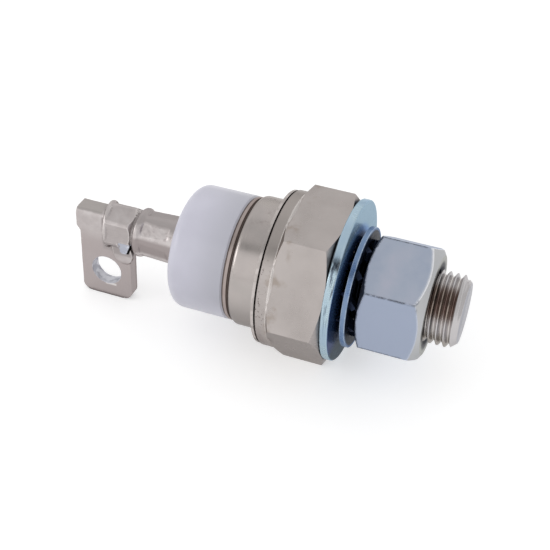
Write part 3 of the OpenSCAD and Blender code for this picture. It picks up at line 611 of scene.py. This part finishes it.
def ease_edges(piece, width, segments=3):
    """Breaks the sharp edges with a small round, and keeps the flats flat."""
    bevel = piece.modifiers.new("eased_edges", "BEVEL")
    bevel.limit_method = "ANGLE"
    bevel.angle_limit = math.radians(SHARP)
    bevel.width = width * MM
    bevel.segments = segments
    bevel.harden_normals = True


# Half-inch, 20-turn fine thread, with the station of one crest on the top of the stud
PITCH = 1.27
CREST_RADIUS = 6.35
ROOT_RADIUS = 5.58
CREST_STATION = 1.054
# Runout groove behind the thread, its slope out to the crests, and the chamfer at the stud's end
GROOVE_RADIUS = 5.45
GROOVE_END = 1.2
RUNOUT_SLOPE = 1.3
CHAMFER_LENGTH = 1.2
CHAMFER_SLOPE = 0.9
STEPS_A_TURN = 72


def stud_limit(station):
    """Greatest radius of the stud at a station: the groove, its runout and the end's chamfer."""
    runout = GROOVE_RADIUS + max(0, station - GROOVE_END) * RUNOUT_SLOPE
    chamfer = CREST_RADIUS - max(0, station - STUD_END + CHAMFER_LENGTH) * CHAMFER_SLOPE
    return min(runout, CREST_RADIUS, chamfer)


def thread_outline(parts=4):
    """Flanks at 30 degrees between a narrow crest and a narrow root, over one pitch."""
    depth = CREST_RADIUS - ROOT_RADIUS
    half = PITCH / 2
    flat = (half - depth * math.tan(math.radians(30))) / 2
    rise = [(-half, ROOT_RADIUS - 0.02)]
    for i in range(parts + 1):
        t = i / parts
        rise.append((-half + flat + t * (half - 2 * flat), ROOT_RADIUS + t * (depth - 0.008)))
    rise.append((0, CREST_RADIUS))
    return rise + [(-x, r) for x, r in reversed(rise[:-1])]


def threaded_stud():
    """One pitch of the thread, spun along its helix, cut to length and pulled in to the end's chamfer."""
    shape = bmesh.new()
    first = CREST_STATION - PITCH
    points = [shape.verts.new(((first + x) * MM, 0, r * MM)) for x, r in thread_outline()]
    lines = [shape.edges.new(pair) for pair in zip(points, points[1:])]
    turns = math.ceil((STUD_END - first) / PITCH) + 1
    bmesh.ops.spin(shape, geom=points + lines, cent=(0, 0, 0), axis=(1, 0, 0),
                   dvec=(PITCH * MM / STEPS_A_TURN, 0, 0), angle=math.tau * turns, steps=STEPS_A_TURN * turns)
    bmesh.ops.remove_doubles(shape, verts=shape.verts, dist=0.002 * MM)
    cut(shape, STUD_CUT, True)
    cut(shape, STUD_END, False)
    for vertex in shape.verts:
        radius = math.hypot(vertex.co.y, vertex.co.z)
        limit = stud_limit(vertex.co.x / MM) * MM
        if radius > limit:
            vertex.co.y *= limit / radius
            vertex.co.z *= limit / radius
    return shape


def hexagon_base():
    """The collar and the hexagon, turned from the same bar as the stud."""
    shape = cad_copy("stud_base")
    cut(shape, STUD_CUT, False)
    return shape


# A forged or pressed skin: the size of its mesh and of its bumps in millimetres, and a shift that
# keeps the bumps inside the CAD's surface
VOXEL = 0.1
BUMP_SIZE = 1.5
BUMP_SHIFT = 1.2


def forged(node, unevenness):
    """A CAD node with the soft edges and the slight unevenness of a forged or pressed piece."""
    blank = bpy.data.objects.new("blank", nodes[node].data.copy())
    bpy.context.scene.collection.objects.link(blank)
    remesh = blank.modifiers.new("even_mesh", "REMESH")
    remesh.mode = "VOXEL"
    remesh.voxel_size = VOXEL * MM
    smooth = blank.modifiers.new("soft_edges", "SMOOTH")
    smooth.factor = 0.5
    smooth.iterations = 2
    even = bpy.data.meshes.new_from_object(blank.evaluated_get(bpy.context.evaluated_depsgraph_get()))
    bpy.data.objects.remove(blank)
    shape = bmesh.new()
    shape.from_mesh(even)
    shape.normal_update()
    for vertex in shape.verts:
        height = noise.fractal(vertex.co / (BUMP_SIZE * MM), 1.0, 2.0, 3) - BUMP_SHIFT
        vertex.co += vertex.normal * unevenness * MM * height
    return shape


ease_edges(add_piece(hexagon_base(), "hexagon_base", "stud_base"), 0.15)
stud = add_piece(threaded_stud(), "threaded_stud", "stud_base", nickel_stud)
stud.data.set_sharp_from_angle(angle=math.radians(50))
ease_edges(add_piece(cad_copy("hex_nut"), "nut", "hex_nut"), 0.18)
ease_edges(add_piece(cad_copy("flat_washer"), "washer", "flat_washer"), 0.1)
ease_edges(add_piece(cad_copy("lock_washer"), "toothed_washer", "lock_washer"), 0.12, 2)
add_piece(forged("flag_terminal", 0.025), "terminal", "flag_terminal")
add_piece(forged("neck_tube", 0.03), "pressed_neck", "neck_tube")


# Floor and light. Their sizes are in metres, and a level of 1 is white.

FLOOR_SIZE = 2.5
FLOOR_GLOW = 0.47
TENT_LEVEL = 0.79
GAP_LEVEL = 0.1
# Way to the middle of the gap in the tent, and the cosines of its inner and outer edges
GAP_WAY = (-0.14, -0.565, 0.81)
GAP_OUTER, GAP_INNER = 0.978, 0.998
# Point on the device's axis at which the softboxes look
LIT_POINT = (-15 * MM, 0, 0)
SOFTBOX_DISTANCE = 0.9


def add_floor():
    """A white table that keeps the object's shadow and shows white to the camera."""
    shape = bmesh.new()
    bmesh.ops.create_grid(shape, x_segments=1, y_segments=1, size=FLOOR_SIZE)
    bmesh.ops.translate(shape, verts=shape.verts, vec=(0, 0, cad_box[0][2] - 0.02 * MM))
    mesh = bpy.data.meshes.new("floor")
    shape.to_mesh(mesh)
    shape.free()
    floor = bpy.data.objects.new("floor", mesh)
    bpy.context.scene.collection.objects.link(floor)
    material = bpy.data.materials.new("white_table")
    tree = empty_tree(material)
    card = add(tree, "BsdfDiffuse", {"Color": linear("dcdcdc")})
    ray = add(tree, "LightPath").outputs
    seen = ray["Is Camera Ray"]
    for kind in ("Is Glossy Ray", "Is Transmission Ray"):
        seen = add(tree, "Math", {0: seen, 1: ray[kind]}, operation="MAXIMUM").outputs[0]
    level = add(tree, "Math", {0: seen, 1: FLOOR_GLOW}, operation="MULTIPLY")
    glow = add(tree, "Emission", {"Color": (1, 1, 1, 1), "Strength": level.outputs[0]})
    surface = add(tree, "AddShader", {0: card.outputs[0], 1: glow.outputs[0]})
    add(tree, "OutputMaterial", {"Surface": surface.outputs[0]})
    mesh.materials.append(material)


def add_world():
    """A pale tent, with a darker gap above the front through which the camera looks in."""
    world = bpy.data.worlds.new("studio")
    bpy.context.scene.world = world
    tree = empty_tree(world)
    way = add(tree, "TexCoord").outputs["Generated"]
    near = add(tree, "VectorMath", {0: way, 1: Vector(GAP_WAY).normalized()}, operation="DOT_PRODUCT")
    fade = {"Value": near.outputs["Value"], "From Min": GAP_OUTER, "From Max": GAP_INNER,
            "To Min": TENT_LEVEL, "To Max": GAP_LEVEL}
    level = add(tree, "MapRange", fade, interpolation_type="SMOOTHSTEP")
    tent = add(tree, "Background", {"Color": (1, 1, 1, 1), "Strength": level.outputs["Result"]})
    add(tree, "OutputWorld", {"Surface": tent.outputs[0]})


def add_softbox(name, way, width, height, level):
    """A rectangular lamp that adds a level to the tent's."""
    data = bpy.data.lights.new(name, "AREA")
    data.shape = "RECTANGLE"
    data.size, data.size_y = width, height
    data.energy = math.pi * width * height * level
    lamp = bpy.data.objects.new(name, data)
    direction = Vector(way).normalized()
    lamp.location = Vector(LIT_POINT) + direction * SOFTBOX_DISTANCE
    lamp.rotation_euler = direction.to_track_quat("Z", "Y").to_euler()
    bpy.context.scene.collection.objects.link(lamp)


add_floor()
add_world()
add_softbox("back_softbox", (-0.2, 0.75, 0.62), 1.3, 0.9, 0.14)
add_softbox("left_softbox", (-0.85, -0.4, 0.32), 0.5, 0.35, 2.0)
add_softbox("front_softbox", (-0.2, -0.9, 0.42), 1.4, 0.72, 0.35)
bpy.context.scene.view_settings.view_transform = "Standard"
